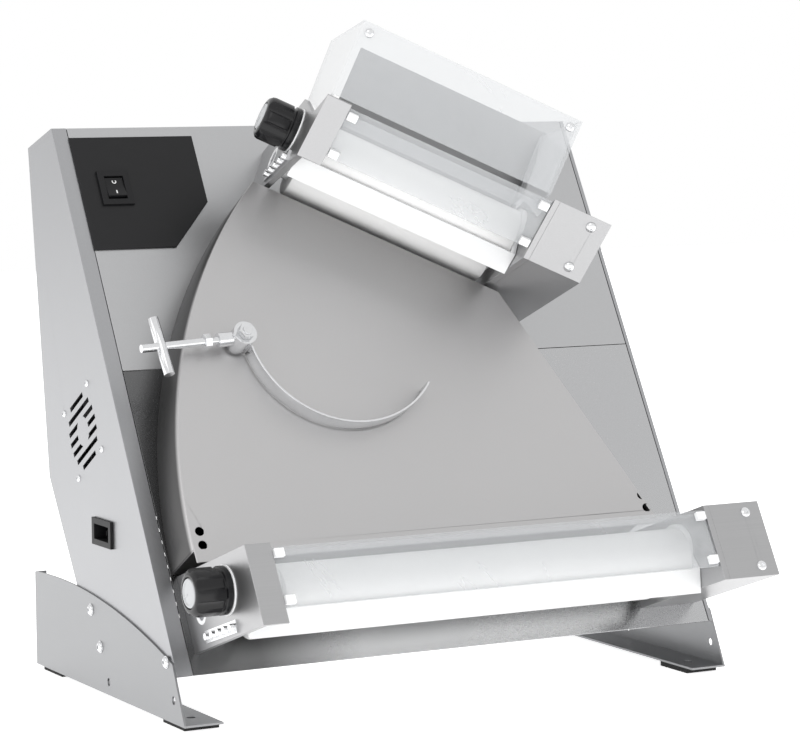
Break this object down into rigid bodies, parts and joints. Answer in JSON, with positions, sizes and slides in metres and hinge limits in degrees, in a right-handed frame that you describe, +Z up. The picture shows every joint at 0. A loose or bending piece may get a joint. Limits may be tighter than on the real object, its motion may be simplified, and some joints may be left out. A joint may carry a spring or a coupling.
{
  "type": "dough sheeter",
  "caption": "Bench dough sheeter with two inclined pairs of motor-driven rollers, a feed hopper, a chute and a counterweighted turning arm between them.",
  "frame": {"origin": "on the bench, at the centre of the four bench-bolt holes in the feet", "axes": "+X to the operator's right along the rollers of the lower pair, +Y to the back, +Z up; the front panel rises and leans back from the operator's side, which is at -Y"},
  "size_m": [0.6203, 0.5033, 0.6647],
  "materials": {
    "panel_steel": "fine brushed sheet",
    "unit_steel": "fine brushed sheet",
    "screw_steel": "turned, bright",
    "pad_rubber": "matt",
    "black_panel": "satin black powder coat",
    "black_plastic": "fine grain",
    "knob_plastic": "moulded, fine grain",
    "cap_plastic": "satin",
    "box_metal": "satin grey",
    "motor_paint": "satin dark grey",
    "drive_steel": "oiled machined steel",
    "shaft_steel": "ground",
    "bush_bronze": "sintered bronze, matt",
    "roller_plastic": "smooth food-grade plastic",
    "white_plastic": "machined plastic",
    "clear_sheet": "clear, polished",
    "arm_steel": "polished stainless steel"
  },
  "bodies": {
    "machine": {"left_side_panel": "panel_steel", "right_side_panel": "panel_steel", "front_panel_upper": "panel_steel", "front_panel_lower": "panel_steel", "rear_shell": "panel_steel", "slide_chute": "panel_steel", "chute_edge": "panel_steel", "chute_skirts": "panel_steel", "left_foot": "panel_steel", "right_foot": "panel_steel", "rubber_feet": "pad_rubber", "screws": "screw_steel", "control_panel": "black_panel", "switch_housing": "black_plastic", "power_inlet": "black_plastic", "fan_frame": "black_plastic", "control_box": "box_metal", "motor_brackets": "box_metal", "gear_motors": "motor_paint", "gear_cases": "unit_steel", "drive_chains": "drive_steel", "rear_bearings": "white_plastic", "guard_fixings": "white_plastic", "index_plates": "unit_steel", "lower_cheek": "unit_steel", "lower_drive_cheek": "unit_steel", "lower_guard": "clear_sheet", "upper_cheek": "unit_steel", "upper_drive_cheek": "unit_steel", "upper_guard": "clear_sheet", "hopper_guard": "clear_sheet", "hopper_plate": "unit_steel", "arm_pivot": "arm_steel"},
    "rocker": {"switch_rocker": "black_plastic"},
    "fan": {"fan_rotor": "black_plastic"},
    "turning_arm": {"arm_hub": "arm_steel", "arm_blade": "arm_steel"},
    "arm_weight": {"arm_counterweight": "arm_steel"},
    "lower_gap_knob": {"lower_gap_yoke": "white_plastic", "lower_knob": "knob_plastic", "lower_knob_cap": "cap_plastic"},
    "lower_front_bearings": {"lower_front_bushes": "bush_bronze"},
    "lower_front": {"lower_front_roller": "roller_plastic", "lower_front_shaft": "shaft_steel", "lower_front_gear": "drive_steel"},
    "lower_rear": {"lower_rear_roller": "roller_plastic", "lower_rear_shaft": "shaft_steel", "lower_rear_gear": "drive_steel"},
    "lower_output": {"lower_motor_sprocket": "drive_steel"},
    "upper_gap_knob": {"upper_gap_yoke": "white_plastic", "upper_knob": "knob_plastic", "upper_knob_cap": "cap_plastic"},
    "upper_front_bearings": {"upper_front_bushes": "bush_bronze"},
    "upper_front": {"upper_front_roller": "roller_plastic", "upper_front_shaft": "shaft_steel", "upper_front_gear": "drive_steel"},
    "upper_rear": {"upper_rear_roller": "roller_plastic", "upper_rear_shaft": "shaft_steel", "upper_rear_gear": "drive_steel"},
    "upper_output": {"upper_motor_sprocket": "drive_steel"}
  },
  "joints": [
    {"name": "switch_rock", "type": "hinge", "parent": "machine", "child": "rocker", "pos_m": [-0.247, 0.09037, 0.49897], "axis": [1, 0, 0], "range_deg": [0, 16]},
    {"name": "fan_spin", "type": "hinge", "parent": "machine", "child": "fan", "pos_m": [-0.285, 0.05458, 0.26098], "axis": [1, 0, 0], "continuous": true},
    {"name": "lower_rear_spin", "type": "hinge", "parent": "machine", "child": "lower_rear", "pos_m": [0, -0.17444, 0.1103], "axis": [1, 0, 0], "continuous": true},
    {"name": "lower_gap_turn", "type": "hinge", "parent": "machine", "child": "lower_gap_knob", "pos_m": [0, -0.23108, 0.13922], "axis": [1, 0, 0], "range_deg": [-15, 15]},
    {"name": "lower_front_shift", "type": "slide", "parent": "machine", "child": "lower_front_bearings", "axis": [0, -0.9511, 0.309], "range_m": [-0.0026, 0.0026]},
    {"name": "lower_front_spin", "type": "hinge", "parent": "lower_front_bearings", "child": "lower_front", "pos_m": [0, -0.23417, 0.12971], "axis": [1, 0, 0], "continuous": true},
    {"name": "lower_output_spin", "type": "hinge", "parent": "machine", "child": "lower_output", "pos_m": [0, -0.07004, 0.10314], "axis": [1, 0, 0], "continuous": true},
    {"name": "upper_rear_spin", "type": "hinge", "parent": "machine", "child": "upper_rear", "pos_m": [0.01309, 0.01504, 0.4785], "axis": [0.8746, -0.2424, -0.4199], "continuous": true},
    {"name": "upper_gap_turn", "type": "hinge", "parent": "machine", "child": "upper_gap_knob", "pos_m": [0.01043, -0.04222, 0.50602], "axis": [0.8746, -0.2424, -0.4199], "range_deg": [-15, 15]},
    {"name": "upper_front_shift", "type": "slide", "parent": "machine", "child": "upper_front_bearings", "axis": [-0.1173, -0.9461, 0.3019], "range_m": [-0.0026, 0.0026]},
    {"name": "upper_front_spin", "type": "hinge", "parent": "upper_front_bearings", "child": "upper_front", "pos_m": [0.00572, -0.04437, 0.49746], "axis": [0.8746, -0.2424, -0.4199], "continuous": true},
    {"name": "upper_output_spin", "type": "hinge", "parent": "machine", "child": "upper_output", "pos_m": [0.01842, 0.10992, 0.43483], "axis": [0.8746, -0.2424, -0.4199], "continuous": true},
    {"name": "arm_swing", "type": "hinge", "parent": "machine", "child": "turning_arm", "pos_m": [-0.187, -0.07462, 0.3552], "axis": [0, -0.866, 0.5], "range_deg": [-55, 12]},
    {"name": "weight_slide", "type": "slide", "parent": "turning_arm", "child": "arm_weight", "axis": [-0.9982, -0.0297, -0.0514], "range_m": [-0.012, 0.012]}
  ],
  "couplings": [
    {"joint": "lower_gap_turn", "follows": "lower_front_shift", "rad_per_m": -100},
    {"joint": "lower_front_spin", "follows": "lower_rear_spin", "ratio": -1},
    {"joint": "lower_output_spin", "follows": "lower_rear_spin", "ratio": 1},
    {"joint": "upper_gap_turn", "follows": "upper_front_shift", "rad_per_m": -100},
    {"joint": "upper_front_spin", "follows": "upper_rear_spin", "ratio": -1},
    {"joint": "upper_output_spin", "follows": "upper_rear_spin", "ratio": 1}
  ]
}
